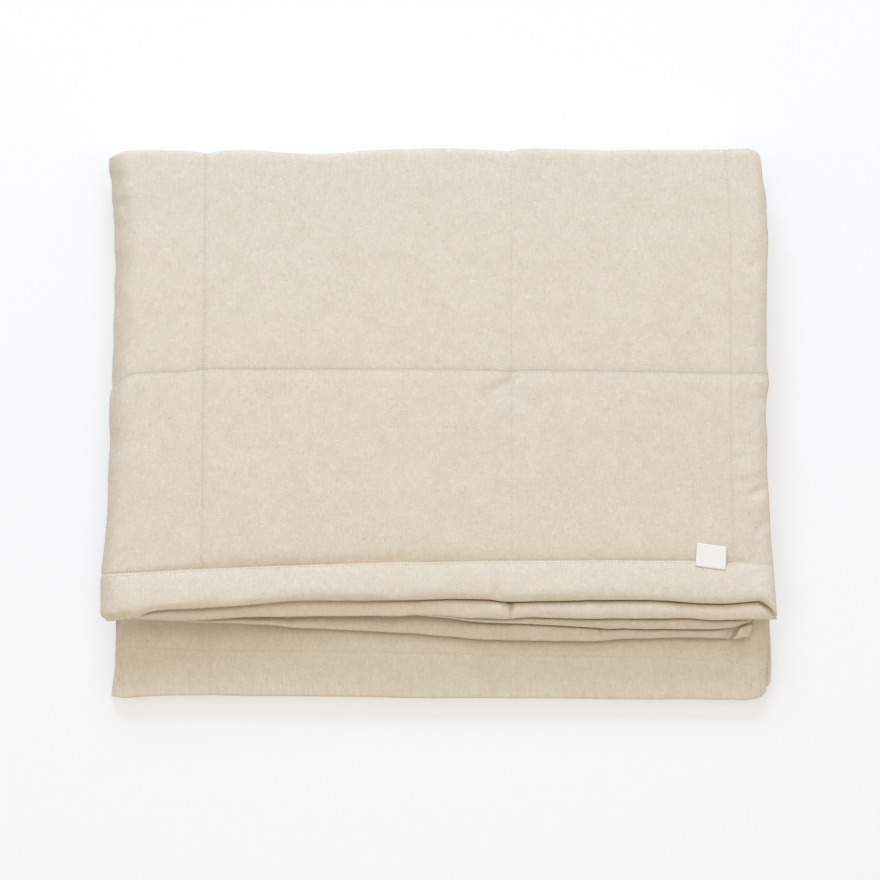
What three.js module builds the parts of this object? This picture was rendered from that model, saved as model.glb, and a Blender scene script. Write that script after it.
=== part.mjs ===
// Quilted bedspread, folded into a packet of eight layers, with a sewn-on label.
// Millimetres, +X to the right, +Y to the back, +Z up, origin under the middle of the packet.
import * as THREE from 'three';

// The cloth laid flat
const SPREAD_WIDTH = 1600;
const SPREAD_LENGTH = 2500;
const CELL_THICKNESS = 10;
const STITCH_THICKNESS = 3.5;
const EDGE_THICKNESS = 4.5;
const BEND_THICKNESS = 8;
const GROOVE_HALF_WIDTH = 10;
const EDGE_ROUNDING = 7;
const BEND_FADE = 30;

// Lines of stitching, as distances from the nearest edge of the flat cloth
const LINES_FROM_SIDE = [49, 313, 691];
const LINES_FROM_END = [49, 282, 582, 882, 1183];

// The folded packet
const PITCH = 10.5;
const SIDE_TURN_RADIUS = PITCH / 2;
const BACK_CENTRE_Y = 294;
const FRONT_CENTRE_Y = -314;
const PACKET_HALF_WIDTH = 400;
const PACKET_HALF_DEPTH = 336;
const FOLD_SKEW = 9;
const LEAN_TO_RIGHT = 0.03;
const LEAN_TO_FRONT = 0.015;
const TURN_STEPS = 6;

// The cloth's way through the packet: level and turn radius in layers, length in millimetres
const SECTIONS = [
  { name: 'top run', level: 7, radius: 0, side: 1, length: 512 },
  { name: 'outer back turn', level: 4, radius: 3, side: 1, length: Math.PI * 3 * PITCH },
  { name: 'bottom run', level: 1, radius: 0, side: -1, length: 608 },
  { name: 'front turn', level: 2, radius: 1, side: 1, length: Math.PI * PITCH },
  { name: 'middle run', level: 3, radius: 0, side: 1, length: 608 },
  { name: 'inner back turn', level: 4, radius: 1, side: -1, length: Math.PI * PITCH },
  { name: 'under run', level: 5, radius: 0, side: -1, length: 544 },
];

// Front edges of the four upper layers, from the top one down
const FRONT_EDGE_1 = [
  { x: -394, y: -238 }, { x: -349, y: -232 }, { x: -269, y: -227 }, { x: -197, y: -222 },
  { x: -141, y: -217 }, { x: 227, y: -218 }, { x: 319, y: -221 }, { x: 379, y: -219 },
  { x: 401, y: -239 },
];
const FRONT_EDGE_2 = [
  { x: -394, y: -238 }, { x: -276, y: -240 }, { x: -111, y: -235 }, { x: 44, y: -241 },
  { x: 138, y: -238 }, { x: 401, y: -239 },
];
const FRONT_EDGE_3 = [
  { x: -394, y: -240 }, { x: 44, y: -241 }, { x: 138, y: -247 }, { x: 195, y: -251 },
  { x: 310, y: -251 }, { x: 355, y: -250 }, { x: 401, y: -241 },
];
const FRONT_EDGE_4 = [
  { x: -394, y: -240 }, { x: -241, y: -247 }, { x: -121, y: -253 }, { x: 12, y: -260 },
  { x: 93, y: -265 }, { x: 195, y: -266 }, { x: 274, y: -261 }, { x: 346, y: -265 },
  { x: 401, y: -260 },
];

// The fold at the front, rounded off at its right end, and the fold at the back
const FRONT_FOLD = [
  { x: -396, y: -331 }, { x: -283, y: -329 }, { x: 12, y: -334 }, { x: 355, y: -336 },
  { x: 383, y: -331 }, { x: 396, y: -319 }, { x: 401, y: -306 },
];
const BACK_FOLD = [
  { x: -400, y: 333 }, { x: 0, y: 336 }, { x: 400, y: 335 },
];

// Side outlines: the fold on the left and the free edges on the right
const TOP_SIDES = [
  { y: -238, left: -400, right: 401 }, { y: -215, left: -404, right: 399 },
  { y: -170, left: -403, right: 397 }, { y: -100, left: -397, right: 392 },
  { y: 57, left: -396, right: 394 }, { y: 262, left: -396, right: 397 },
  { y: 302, left: -400, right: 393 }, { y: 336, left: -403, right: 386 },
];
const LOWER_SIDES = [
  { y: -331, left: -395, right: 399 }, { y: -288, left: -392, right: 400 },
  { y: -242, left: -387, right: 399 }, { y: 100, left: -391, right: 396 },
  { y: 262, left: -396, right: 397 }, { y: 302, left: -400, right: 393 },
  { y: 336, left: -403, right: 386 },
];
const UNDER_SIDES = [
  { y: -265, left: -383, right: 371 }, { y: -200, left: -388, right: 382 },
  { y: 57, left: -393, right: 392 }, { y: 262, left: -396, right: 397 },
  { y: 302, left: -400, right: 393 }, { y: 336, left: -403, right: 386 },
];
const SIDES = [
  TOP_SIDES, TOP_SIDES, LOWER_SIDES, LOWER_SIDES, LOWER_SIDES, UNDER_SIDES, UNDER_SIDES,
];

// The label, placed on the flat cloth by its middle, with its front edge on the end hem's stitching
const LABEL_FROM_SIDE = 74;
const LABEL_FROM_END = 60;
const LABEL_WIDTH = 36;
const LABEL_DEPTH = 29;
const LABEL_THICKNESS = 1;
const LABEL_GAP = 0.5;
const LABEL_TURN = THREE.MathUtils.degToRad(9);
const LABEL_STEPS = 6;

// A table's value at a place, on straight lines between its rows
function valueAt(table, key, column, place) {
  const last = table.length - 1;
  if (place <= table[0][key]) {
    return table[0][column];
  }
  if (place >= table[last][key]) {
    return table[last][column];
  }
  const next = table.findIndex((row) => row[key] > place);
  const before = table[next - 1];
  const after = table[next];
  const share = (place - before[key]) / (after[key] - before[key]);
  return THREE.MathUtils.lerp(before[column], after[column], share);
}

// Where each section of the cloth's way begins and ends along the flat cloth
const WAY_LENGTH = SECTIONS.reduce((sum, section) => sum + section.length, 0);
const STOPS = [0];
for (const section of SECTIONS) {
  STOPS.push(STOPS[STOPS.length - 1] + section.length * SPREAD_LENGTH / WAY_LENGTH);
}

// The cloth goes round the fold on the left in half a turn
const HALF_WIDTH = SPREAD_WIDTH / 2;
const SIDE_TURN_LENGTH = Math.PI * SIDE_TURN_RADIUS;
const SIDE_RUN = HALF_WIDTH - SIDE_TURN_LENGTH / 2;

function fromNearestLine(place, length, distances) {
  const inward = Math.min(place, length - place);
  return Math.min(...distances.map((distance) => Math.abs(inward - distance)));
}

function rise(distance, reach, low) {
  return THREE.MathUtils.lerp(low, CELL_THICKNESS, Math.min(1, distance / reach));
}

// Thickness of the cloth: full in a cell, less at stitching, edges and sharp turns
function thickness(u, v) {
  const seamAcross = fromNearestLine(u, SPREAD_WIDTH, LINES_FROM_SIDE);
  const seamAlong = fromNearestLine(v, SPREAD_LENGTH, LINES_FROM_END);
  const edge = Math.min(u, SPREAD_WIDTH - u, v, SPREAD_LENGTH - v);
  const sideTurn = Math.max(0, Math.abs(u - HALF_WIDTH) - SIDE_TURN_LENGTH / 2);
  const frontTurn = Math.max(0, STOPS[3] - FOLD_SKEW - v, v - STOPS[4] - FOLD_SKEW);
  const backTurn = Math.max(0, STOPS[5] - v, v - STOPS[6]);
  const bend = Math.min(sideTurn, frontTurn, backTurn);
  return Math.min(
    rise(Math.min(seamAcross, seamAlong), GROOVE_HALF_WIDTH, STITCH_THICKNESS),
    rise(edge, EDGE_ROUNDING, EDGE_THICKNESS),
    rise(bend, BEND_FADE, BEND_THICKNESS),
  );
}

// A place across the cloth in a pair of layers: x on a side outline, n out from the pair's middle
function acrossPair(u, outward, left, right) {
  const reach = SIDE_TURN_RADIUS + outward;
  const turnX = left + SIDE_TURN_RADIUS + BEND_THICKNESS / 2;
  if (u <= SIDE_RUN) {
    return { x: THREE.MathUtils.lerp(right, turnX, u / SIDE_RUN), n: reach };
  }
  if (u >= SPREAD_WIDTH - SIDE_RUN) {
    return { x: THREE.MathUtils.lerp(right, turnX, (SPREAD_WIDTH - u) / SIDE_RUN), n: -reach };
  }
  const angle = (u - SIDE_RUN) / SIDE_TURN_RADIUS;
  return { x: turnX - reach * Math.sin(angle), n: reach * Math.cos(angle) };
}

// The same place, nominally, for looking up the front and back outlines
function nominalX(u) {
  const inward = Math.min(u, SPREAD_WIDTH - u, SIDE_RUN);
  return PACKET_HALF_WIDTH - inward * (2 * PACKET_HALF_WIDTH - PITCH) / SIDE_RUN;
}

// Edge of an end of the cloth, going from the upper layer of its pair round to the other
function endEdge(u, table, otherTable) {
  return valueAt(u <= HALF_WIDTH ? table : otherTable, 'x', 'y', nominalX(u));
}

// The place of a point of the cloth: u across, v along, outward from the middle of its thickness
function clothPoint(u, v, outward) {
  const across = nominalX(u);
  const skew = FOLD_SKEW * across / PACKET_HALF_WIDTH;
  const stops = STOPS.map((stop, index) => (index === 3 || index === 4 ? stop + skew : stop));
  const found = stops.findIndex((stop) => stop > v) - 1;
  const index = found < 0 ? SECTIONS.length - 1 : found;
  const section = SECTIONS[index];
  const share = (v - stops[index]) / (stops[index + 1] - stops[index]);
  const backY = BACK_CENTRE_Y + valueAt(BACK_FOLD, 'x', 'y', across) - PACKET_HALF_DEPTH;
  const frontY = FRONT_CENTRE_Y + valueAt(FRONT_FOLD, 'x', 'y', across) + PACKET_HALF_DEPTH - 2;
  const runs = {
    0: [endEdge(u, FRONT_EDGE_1, FRONT_EDGE_2), backY],
    2: [backY, frontY],
    4: [frontY, backY],
    6: [backY, endEdge(u, FRONT_EDGE_4, FRONT_EDGE_3)],
  };
  const atFront = section.name === 'front turn';
  const centreY = atFront ? frontY : backY;
  const turn = (share - 0.5) * Math.PI * (index === 1 ? -1 : 1);
  const radius = section.radius * PITCH;
  const heading = atFront ? -1 : 1;
  const middleY = section.radius > 0
    ? centreY + heading * radius * Math.cos(turn)
    : THREE.MathUtils.lerp(runs[index][0], runs[index][1], share);
  const left = valueAt(SIDES[index], 'y', 'left', middleY);
  const right = valueAt(SIDES[index], 'y', 'right', middleY);
  const { x, n } = acrossPair(u, outward, left, right);
  const reach = radius + section.side * n;
  const y = section.radius > 0 ? centreY + heading * reach * Math.cos(turn) : middleY;
  const level = section.level * PITCH - (PITCH - CELL_THICKNESS) / 2;
  const z = section.radius > 0 ? level + reach * Math.sin(turn) : level + section.side * n;
  const lean = 1 - LEAN_TO_RIGHT * x / PACKET_HALF_WIDTH + LEAN_TO_FRONT * y / PACKET_HALF_DEPTH;
  return new THREE.Vector3(x, y, z * lean);
}

// Places across or along the cloth where it is given points, none closer than a small step
function stations(length, distances, extras, turns) {
  const wanted = [];
  for (const distance of distances) {
    for (const step of [-GROOVE_HALF_WIDTH, 0, GROOVE_HALF_WIDTH]) {
      wanted.push(distance + step, length - distance - step);
    }
  }
  wanted.push(0, EDGE_ROUNDING / 3, EDGE_ROUNDING);
  wanted.push(length, length - EDGE_ROUNDING / 3, length - EDGE_ROUNDING);
  for (const { from, to } of turns) {
    for (let step = 0; step <= TURN_STEPS; step += 1) {
      wanted.push(THREE.MathUtils.lerp(from, to, step / TURN_STEPS));
    }
  }
  wanted.push(...extras);
  const kept = [];
  for (const place of wanted) {
    if (kept.every((other) => Math.abs(other - place) > 2)) {
      kept.push(place);
    }
  }
  return kept.sort((one, other) => one - other);
}

// A closed sheet from two grids of points, with a rim between them
function closedSheet(upper, lower) {
  const rows = upper.length;
  const columns = upper[0].length;
  const points = [...upper.flat(), ...lower.flat()];
  const under = rows * columns;
  const faces = [];
  const quad = (a, b, c, d) => faces.push(a, b, c, a, c, d);
  for (let row = 0; row < rows - 1; row += 1) {
    for (let column = 0; column < columns - 1; column += 1) {
      const a = row * columns + column;
      const b = a + 1;
      const c = b + columns;
      const d = a + columns;
      quad(a, b, c, d);
      quad(under + a, under + d, under + c, under + b);
    }
  }
  const rim = [];
  for (let column = 0; column < columns - 1; column += 1) {
    rim.push([column, column + 1]);
    rim.push([under - 1 - column, under - 2 - column]);
  }
  for (let row = 0; row < rows - 1; row += 1) {
    rim.push([(row + 2) * columns - 1 - columns, (row + 2) * columns - 1]);
    rim.push([(row + 1) * columns, row * columns]);
  }
  for (const [a, b] of rim) {
    quad(a, under + a, under + b, b);
  }
  const geometry = new THREE.BufferGeometry();
  geometry.setAttribute('position', new THREE.Float32BufferAttribute(
    points.flatMap((point) => point.toArray()),
    3,
  ));
  geometry.setIndex(faces);
  return geometry;
}

// The sheet is turned right side out where its points run the other way round
function outwardFacing(geometry) {
  const places = geometry.getAttribute('position');
  const index = geometry.getIndex().array;
  const corner = (at) => new THREE.Vector3().fromBufferAttribute(places, index[at]);
  let volume = 0;
  for (let at = 0; at < index.length; at += 3) {
    volume += corner(at).dot(corner(at + 1).cross(corner(at + 2)));
  }
  if (volume < 0) {
    for (let at = 0; at < index.length; at += 3) {
      [index[at], index[at + 1]] = [index[at + 1], index[at]];
    }
  }
  geometry.computeVertexNormals();
  return geometry;
}

// The bedspread
const acrossExtras = [22, 180, 440, 565, 750];
const across = stations(
  SPREAD_WIDTH,
  LINES_FROM_SIDE,
  [...acrossExtras, ...acrossExtras.map((place) => SPREAD_WIDTH - place)],
  [{ from: SIDE_RUN, to: SPREAD_WIDTH - SIDE_RUN }],
);
const along = stations(
  SPREAD_LENGTH,
  LINES_FROM_END,
  [165, 365, 440, 730, 1030, 1470, 1750, 2067, 2335],
  [1, 3, 5].map((index) => ({ from: STOPS[index], to: STOPS[index + 1] })),
);
const faceOf = (side) => along.map((v) => across.map(
  (u) => clothPoint(u, v, side * thickness(u, v) / 2),
));
const spreadGeometry = outwardFacing(closedSheet(faceOf(1), faceOf(-1)));

// The label, lying on the upper face of the top layer
function labelFace(height) {
  const face = [];
  for (let row = 0; row <= LABEL_STEPS; row += 1) {
    const points = [];
    for (let column = 0; column <= LABEL_STEPS; column += 1) {
      const wide = (column / LABEL_STEPS - 0.5) * LABEL_WIDTH;
      const deep = (row / LABEL_STEPS - 0.5) * LABEL_DEPTH;
      const u = LABEL_FROM_SIDE + wide * Math.cos(LABEL_TURN) - deep * Math.sin(LABEL_TURN);
      const v = LABEL_FROM_END + wide * Math.sin(LABEL_TURN) + deep * Math.cos(LABEL_TURN);
      points.push(clothPoint(u, v, thickness(u, v) / 2 + height));
    }
    face.push(points);
  }
  return face;
}
const labelGeometry = outwardFacing(
  closedSheet(labelFace(LABEL_GAP + LABEL_THICKNESS), labelFace(LABEL_GAP)),
);

// The packet is set with the middle of its underside on the origin
spreadGeometry.computeBoundingBox();
const box = spreadGeometry.boundingBox;
const shiftX = -(box.min.x + box.max.x) / 2;
const shiftY = -(box.min.y + box.max.y) / 2;
for (const geometry of [spreadGeometry, labelGeometry]) {
  geometry.translate(shiftX, shiftY, -box.min.z);
}

const linen = new THREE.MeshStandardMaterial({ color: 0xd9ccb8, roughness: 0.95, metalness: 0 });
const tape = new THREE.MeshStandardMaterial({ color: 0xf2f2f0, roughness: 0.7, metalness: 0 });

const bedspread = new THREE.Mesh(spreadGeometry, linen);
bedspread.name = 'bedspread';
const label = new THREE.Mesh(labelGeometry, tape);
label.name = 'label';

const part = new THREE.Group();
part.name = 'folded_bedspread';
part.add(bedspread, label);

export default part;
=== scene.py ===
"""Folded quilted bedspread: its cloth, stitching and label, on a pale floor in soft light."""

import math

import bpy
import numpy as np
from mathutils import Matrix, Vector


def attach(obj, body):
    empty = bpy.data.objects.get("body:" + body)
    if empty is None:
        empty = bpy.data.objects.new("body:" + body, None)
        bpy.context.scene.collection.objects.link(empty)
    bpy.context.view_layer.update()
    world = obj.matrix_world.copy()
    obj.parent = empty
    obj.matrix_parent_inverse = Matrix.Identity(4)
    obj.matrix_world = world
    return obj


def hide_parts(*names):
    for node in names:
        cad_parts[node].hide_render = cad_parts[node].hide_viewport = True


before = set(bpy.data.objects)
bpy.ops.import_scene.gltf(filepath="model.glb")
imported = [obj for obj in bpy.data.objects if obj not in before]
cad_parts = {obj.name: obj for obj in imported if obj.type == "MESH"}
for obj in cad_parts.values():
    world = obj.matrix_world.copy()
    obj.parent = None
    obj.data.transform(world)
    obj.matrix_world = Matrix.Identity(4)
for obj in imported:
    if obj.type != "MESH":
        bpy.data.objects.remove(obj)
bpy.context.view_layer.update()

MM = 0.001

# The cloth laid flat, in millimetres
WIDTH = 1600.0
LENGTH = 2500.0
HEM = 49.0
SIDE_HEM = 46.5

# Its thickness in the squares, at sharp turns and at the least
PUFF = 10.0
BEND_THICKNESS = 8.0
BEND_FADE = 30.0
THINNEST = 1.0

# Numbers beyond any size here, and just short of one
FAR = 1000.0
ALMOST_ONE = 0.999

# The cloth's free edges, and how its faces round off to them: drop, reach and power of a layer's
# end and of the top one's; then of the sides, the corners and the lower face
LIP = (3.0, 11.0, 2.0)
TOP_LIP = (5.6, 13.0, 2.5)
SIDE_LIP_DROP = 4.5
SIDE_LIP_REACH = 14.0
LIP_CORNER = 1.6
LIP_UNDER = 1.2
LIP_UNDER_REACH = 4.0

# Lines of stitching: distance from the edge, then depth and reach of the dip beside it, on
# the side away from the edge and on the side towards it, and depth of the line itself
SIDE_LINES = (
    (SIDE_HEM, 0, 3, 1.8, 11, 0),
    (313, 0.8, 6, 0, 6, 0),
    (685.5, 0, 3.5, 1.9, 12, 0),
)
END_LINES = (
    (HEM, 2, 12, 0.8, 8, 0.6),
    (282, 1.3, 8, 1.5, 17, 0.25),
    (582, 1, 11, 1, 11, 0.5),
    (882, 1, 11, 1, 11, 0.5),
    (1183, 0.25, 8, 0.25, 8, 0.4),
)

# Reach of a line itself and of the step at a side line; how much shallower side lines are on
# the lower runs, and where they begin at the hem
LINE_REACH = 1.0
STEP_REACH = 2.6
LINE_CALM = 0.75
COLUMN_BEFORE, COLUMN_FADE = 6.0, 8.0
DIP_POWER = 2.0
HEM_FADE = 12.0
UNDER_DIP = 0.25

# The border along the top end: x and the rise of its crown, and how far that is from the edge;
# and the dip of the cloth behind it: x, depth, reach
BORDER = (
    (-400, 0), (-389, 0.2), (-374, 3.6), (-345, 6.2), (-310, 6.6), (-210, 5.2), (-60, 5),
    (150, 5.2), (260, 6.4), (400, 6),
)
CROWN_AT = 14.0
CROWN_POWER = 1.6
HEM_DIP = (
    (-390, 1, 6), (-345, 1.8, 10), (-240, 5.5, 26), (-156, 6.6, 28), (-48, 7.2, 33), (18, 5.2, 32),
    (144, 3.8, 30), (240, 3.6, 22), (300, 3.2, 30), (350, 2, 18), (400, 1.4, 12),
)
HEM_POWER = 3.0

# The folded packet
PITCH = 10.5
TURN = PITCH / 2
BACK_CENTRE = 294.0
FRONT_CENTRE = -314.0
FRONT_INSET = 2.0
HALF_ACROSS = 400.0
HALF_DEEP = 336.0
BACK_SQUARE = 0.17
FRONT_SQUARE = 0.11

# How the packet leans and slopes down to its front fold: share of the height lost, y where the
# slope starts, how much further back that is at the left, share of a straight slope; then x
# where the left begins, over what width, and the power of the slope there
LEAN_RIGHT = 0.03
LEAN_FRONT = 0.015
FRONT_SQUASH = 0.44
FRONT_FROM = -254.0
FRONT_FROM_LEFT = 20.0
FRONT_STRAIGHT = 0.4
LEFT_FROM, LEFT_FADE, LEFT_SLOPE = -60.0, 260.0, 2.2

# The sides: roundness of the left fold, and share of the height lost at the right edges
SIDE_ROLL = 24.0
LEAST_LEFT = 0.05
CORNER_FILL = 0.8
RIGHT_DROP, RIGHT_REACH = 0.03, 17.0

# The roll down to the left fold: y, share of the height lost at the fold, reach
LEFT_ROLL = ((-240, 0.2, 24), (-70, 0.21, 25), (-20, 0.31, 36), (150, 0.31, 36), (330, 0.34, 36))
LEFT_POWER = 2.5

# Where a layer lies on the next: places of its edge on that one, and the groove beside it
STRIP = 20.0
LEAST_STRIP = 4.0
LOWER_STRIP = 1346.0
TUCK = 3.4
TUCK_BACK = 5.0
ROLL = 6.0
ROLL_RISE = 3.5
ROLL_SHARE = 0.16
STEEP, SLOW = 0.5, 1.0
SLOW_FADE = 6.0
LEAST_WIDE, FULL_WIDE = 0.5, 8.0
MOST_REACH = 0.85

# The fourth layer's groove where the third one does not cover it, and where that begins
HIDDEN_TUCK, HIDDEN_ROLL = 8.8, 18.0
COVERED_FROM, COVERED_FADE = 1.0, 6.0

# The second layer in front of the top one: x, share of the usual rise, depth and reach of its
# groove, drop and reach of its lip
SECOND = (
    (-400, 0, 5.5, 15, 5.6, 14), (-360, 0, 5.5, 15, 5.5, 18), (-150, 0.2, 5.2, 14, 6, 18),
    (-60, 0.8, 4.6, 10, 6, 18), (20, 1.4, 3.8, 7, 6, 17), (90, 1.9, 3.8, 7, 5.2, 13),
    (400, 2.1, 3.8, 7, 4.8, 12),
)

# The lowest groove, on the run that ends in the front fold: x, depth, reach; and how far past
# the fourth layer's right edge it goes, and over what width it ends
LOWEST = ((-400, 8.5, 30), (-250, 8, 24), (-100, 6, 15), (20, 5.6, 13), (400, 5.6, 14))
LOWEST_PAST, LOWEST_FADE = 3.0, 8.0

# The hollow in that run at the left: share of the height lost, y, reach, and x where it ends
HOLLOW, HOLLOW_AT, HOLLOW_REACH = 0.3, -244.0, 17.0
HOLLOW_RIGHT, HOLLOW_FADE = -120.0, 130.0

# Short creases over the second and the fourth layer: distance from the side, depth, reach at
# the edge above and at the layer's own edge
SECOND_CREASES = (
    (313, 8, 7, 2.4), (691, 1.2, 9, 5), (232, 1.6, 12, 6), (110, 1.4, 12, 8),
    (430, 1.4, 14, 8),
)
FOURTH_CREASES = ((190, 3.6, 7, 3), (588, 3.6, 8, 3), (330, 1.6, 12, 8))
CREASE_POWER = 1.5
CREASE_LEAST = 0.4
STRIP_FADE = 10.0

# Unevenness of the layers' strips, then of what shows: the squares, large and small, the right
# strip, the left roll and the border; height, size across and along, seed
STRIP_UNEVEN = (0.7, 24, 14, 8)
SHOWN_UNEVEN = (
    (0.5, 85, 85, 3), (0.3, 34, 34, 4), (0.55, 16, 24, 5), (0.7, 14, 30, 6),
    (0.7, 45, 18, 7),
)

# Where that fades out: beside the side fold, at the front slope, beside stitching, and around
# the right strip, the left roll and the border
FOLD_FADE = 9.0
SLOPE_FROM, SLOPE_FADE = -266.0, 14.0
SEAM_FADE = 20.0
RIGHT_PAST, RIGHT_FADE, RIGHT_EDGE = 6.0, 12.0, 8.0
ROLL_WIDTH, ROLL_FADE = 36.0, 20.0
BORDER_FADE, BORDER_EDGE = 10.0, 12.0

# The turned-up corner of the fourth layer: width, rise, width of its step and of its end; and the
# troughs beside it: distance from it, half width, depth
FLAP = 17.0
FLAP_RISE = 8.0
FLAP_STEP = 1.2
FLAP_FADE = 4.0
POCKETS = ((1.6, 2.4, 10.5), (8.6, 3, 7))

# Sections of the cloth's way through the packet: level and radius in layers, side, length
TOP_RUN, OUTER_BACK, BOTTOM_RUN, FRONT_TURN, MIDDLE_RUN, INNER_BACK, UNDER_RUN = range(7)
SECTIONS = (
    (7, 0, 1, 512.0),
    (4, 3, 1, math.pi * 3 * PITCH),
    (1, 0, -1, 608.0),
    (2, 1, 1, math.pi * PITCH),
    (3, 0, 1, 608.0),
    (4, 1, -1, math.pi * PITCH),
    (5, 0, -1, 544.0),
)
LEVEL, RADIUS, SIDE, RUN = (np.array(column, float) for column in zip(*SECTIONS))
STOPS = np.concatenate(([0.0], np.cumsum(RUN))) * LENGTH / RUN.sum()
SIDE_TURN = math.pi * TURN
SIDE_RUN = WIDTH / 2 - SIDE_TURN / 2


def squared(power):
    """Shares of the way round a squared-off turn, from below, and how far out and up each is."""
    angle = np.linspace(-math.pi / 2, math.pi / 2, 721)
    out = np.abs(np.cos(angle)) ** power
    up = np.sign(angle) * np.abs(np.sin(angle)) ** power
    way = np.concatenate(([0.0], np.cumsum(np.hypot(np.diff(out), np.diff(up)))))
    return way / way[-1], out, up


SQUARED = ((OUTER_BACK, -1, *squared(BACK_SQUARE)), (FRONT_TURN, 1, *squared(FRONT_SQUARE)))

# Front edges of the four upper layers, top one first: x, y
EDGE_1 = (
    (-400, -242), (-386, -241), (-377, -239.8), (-360, -238), (-351.6, -236.6),
    (-347, -232.2), (-340, -230.3), (-328, -228.4), (-282, -226), (-240, -223.4), (-163, -217.2),
    (-60, -216.6), (29, -215.3), (58, -215.5), (82, -218.4), (144, -217.2),
    (240, -216.2), (340, -220.8), (374, -218), (380, -217.4), (392, -224.4), (402, -236.4),
)
EDGE_2 = (
    (-394, -237.4), (-305, -240.2), (-233, -236.8), (-72, -235), (-50, -235.9), (-38, -234.5),
    (-5, -234.1), (43, -237.8), (62, -237.8), (82, -239.5), (110, -237.1), (192, -238.5),
    (300, -238.2), (330, -240.2), (401, -239),
)
EDGE_3 = (
    (-397, -234), (-30, -234), (15, -237.5), (54, -242.3), (134, -245.4), (211, -249.6),
    (224, -251.2), (237, -250.3), (348, -250.8), (369, -249.9), (382, -248), (389, -244.7),
    (400, -242),
)
EDGE_4 = (
    (-397, -239.7), (-299, -242.7), (-205, -246.2), (-184, -249), (-170, -249.6), (-46, -254.9),
    (5, -258.5), (57, -262.7), (199, -265.1), (238, -262.7), (328, -260.7), (364, -261.2),
    (385, -263), (398, -260.7),
)

# Unevenness of the edges: height; size, share and seed of the waves along a front edge
WOBBLE = 0.5
SIDE_WOBBLE = 0.6
SIDE_WAVE = 17.0
EDGE_WAVES = ((30.0, 1.0, 0), (13.0, 0.6, 20))

# Lines of stitching that show: x, y
HEM_LINE = (
    (-402, -185.5), (-287, -179.5), (-131, -173.5), (12, -170.5), (90, -169.5), (191, -169),
    (300, -169.5), (345, -172), (400, -175),
)
TOP_LINE = (
    (-396, 40), (-381, 50), (-361, 55), (-300, 57.5), (-282, 60), (-40, 59.8), (62, 59.2),
    (86, 57.5), (100, 58.8), (190, 58), (400, 55.5),
)
LOWER_LINE = (
    (-390, -272), (-278, -277), (-133, -278), (72, -282), (217, -284), (338, -289), (395, -294),
)

# Folds at the front and the back: x, y
FRONT_FOLD = (
    (-400, -333), (-385, -334), (-340, -331.5), (-283, -330.5), (-134, -332), (12, -334),
    (194, -335), (355, -336), (373, -336), (382, -335.5), (390, -334), (396, -332), (401, -328.5),
)
BACK_FOLD = (
    (-400, 329.6), (-385, 329.6), (-360, 330.4), (-310, 330.4), (-292, 328.4), (-283, 326.2),
    (-275, 327.7), (-262, 330), (-228, 330.6), (-190, 327.4), (-156, 325.6), (-130, 326.2), (-84, 330),
    (-36, 332), (12, 332.4), (60, 330.8), (86, 329.7), (108, 332.6), (156, 332), (204, 330.6),
    (252, 331.6), (300, 331.6), (348, 332), (360, 333.1), (400, 332.7),
)

# Side outlines of the runs: y, left fold, right free edge of the outer and of the inner layer
TOP_SIDES = (
    (-240, -404.4, 404, 404), (-233, -408.4, 402, 403.4), (-217, -408, 401.4, 399),
    (-193, -408.4, 400.4, 397), (-169, -406.4, 399, 395), (-145, -403.8, 397.2, 393),
    (-97, -401, 395.4, 391), (-49, -400.9, 393.4, 390), (-25, -400.2, 394.2, 390),
    (0, -401.6, 393, 390), (23, -401.8, 394, 391), (47, -399, 397, 392), (71, -398.6, 394.6, 391),
    (95, -397.6, 395, 392), (119, -398.2, 395.3, 392.5), (143, -396.8, 395.6, 393),
    (167, -397.6, 396.3, 393), (191, -396, 397, 393), (215, -398.2, 398.2, 393),
    (239, -398.4, 397.4, 394), (256, -400.2, 397, 394), (263, -400.2, 397, 394),
    (270, -401.6, 396.6, 393), (284, -402.4, 395, 392), (293, -402.6, 393.4, 391),
    (304, -405.8, 392, 390.4), (315, -406.6, 390, 388.6), (332, -407, 386, 385),
)
BACK_SIDES = (
    (255, -396, 397, 394), (265, -394, 397, 394), (302, -399, 393, 391), (336, -403, 386, 385),
)
BOTTOM_SIDES = (
    (-331, -401, 397, 397), (-288, -394, 399, 398), (-242, -388, 399, 396), (100, -391, 396, 393),
    *BACK_SIDES,
)
MIDDLE_SIDES = (
    (-331, -401, 395, 400), (-320, -399.5, 396, 402), (-295, -396, 397, 403),
    (-270, -395.4, 398, 402), (-242, -395.4, 398, 401), (100, -391, 394, 393), *BACK_SIDES,
)
UNDER_SIDES = (
    (-265, -383, 364, 374), (-261, -383, 369, 374), (-257, -384, 372.4, 374),
    (-252, -384, 375, 374), (-247, -384, 377, 374), (-240, -384, 378, 375),
    (-200, -388, 383, 383), (57, -393, 392, 391), *BACK_SIDES,
)
SIDES = (*(TOP_SIDES,) * 2, BOTTOM_SIDES, *(MIDDLE_SIDES,) * 2, *(UNDER_SIDES,) * 2)

# The run under the top ones is narrower: its right edge at the front, and how many times wider
# the others are
UNDER_RIGHT = 374.0
UNDER_WIDER = 1.061

# Straight sides that the stitching keeps to in each run: left, right; and reach of the outline
STRAIGHT = ((-400, 396),) * 2 + ((-395, 398),) * 3 + ((-384, 372),) * 2
OUTLINE_REACH = 90.0

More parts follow.
